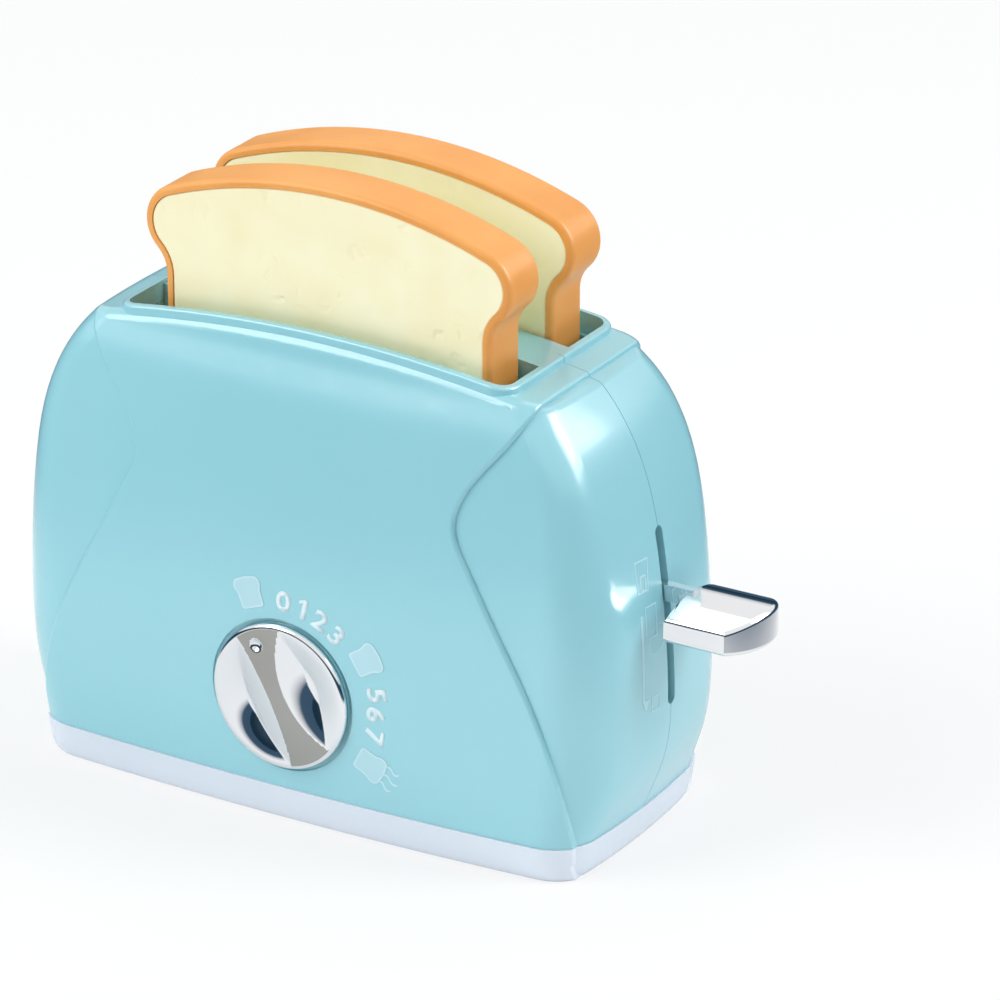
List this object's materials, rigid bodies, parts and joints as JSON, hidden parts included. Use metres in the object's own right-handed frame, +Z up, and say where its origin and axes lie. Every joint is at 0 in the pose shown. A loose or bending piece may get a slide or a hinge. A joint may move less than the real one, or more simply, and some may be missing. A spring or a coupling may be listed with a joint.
{
  "type": "toy toaster",
  "caption": "Toy pop-up toaster with two slices, a push-down lever that lowers them, a turning dial on the front and a spring and latch inside.",
  "frame": {"origin": "on the surface it stands on, under the middle of the base", "axes": "+X to the lever end, +Y to the back, +Z up"},
  "size_m": [0.1804, 0.0727, 0.1472],
  "materials": {
    "aqua_shell": "glossy moulded plastic",
    "white_base": "glossy moulded plastic",
    "inner_plastic": "plain moulded plastic",
    "chrome_trim": "bright vacuum-plated",
    "crust_plastic": "satin moulded plastic",
    "crumb_plastic": "satin moulded plastic with shallow pores",
    "steel_parts": "plain steel"
  },
  "bodies": {
    "housing": {"front_shell": "aqua_shell", "rear_shell": "aqua_shell", "base_tray": "white_base", "well_liner": "aqua_shell", "guide_rod": "steel_parts", "lift_spring": "steel_parts", "click_spring": "steel_parts", "latch_pin": "steel_parts", "latch_spring": "steel_parts", "base_screws": "steel_parts", "shell_screws": "steel_parts", "liner_screws": "steel_parts"},
    "carriage": {"carriage": "inner_plastic", "front_toast_rest": "inner_plastic", "rear_toast_rest": "inner_plastic", "lever_handle": "chrome_trim", "lever_screw": "steel_parts"},
    "front_slice": {"front_crust": "crust_plastic", "front_crumb_face": "crumb_plastic", "front_crumb_back": "crumb_plastic"},
    "rear_slice": {"rear_crust": "crust_plastic", "rear_crumb_face": "crumb_plastic", "rear_crumb_back": "crumb_plastic"},
    "dial": {"dial_knob": "chrome_trim", "dial_shaft": "steel_parts", "dial_screw": "steel_parts", "click_wheel": "inner_plastic"},
    "latch": {"latch_lever": "inner_plastic"}
  },
  "joints": [
    {"name": "carriage_slide", "type": "slide", "parent": "housing", "child": "carriage", "axis": [0, 0, 1], "range_m": [-0.024, 0.011], "stiffness_N_per_m": 60, "springref_m": 0.0159, "deforming": ["lift_spring"]},
    {"name": "front_slice_lift", "type": "slide", "parent": "carriage", "child": "front_slice", "axis": [0, 0, 1], "range_m": [0, 0.07]},
    {"name": "rear_slice_lift", "type": "slide", "parent": "carriage", "child": "rear_slice", "axis": [0, 0, 1], "range_m": [0, 0.07]},
    {"name": "dial_turn", "type": "hinge", "parent": "housing", "child": "dial", "pos_m": [-0.0016, -0.0343, 0.0314], "axis": [0, 1, 0], "range_deg": [0, 144]},
    {"name": "latch_turn", "type": "hinge", "parent": "housing", "child": "latch", "pos_m": [0.0595, -0.0115, 0.014], "axis": [1, 0, 0], "range_deg": [-12, 0], "stiffness_Nm_per_rad": 0.0002, "springref_deg": -34.38, "deforming": ["latch_spring"]}
  ],
  "couplings": [
    {"joint": "latch_turn", "follows": "dial_turn", "ratio": -0.0833}
  ]
}
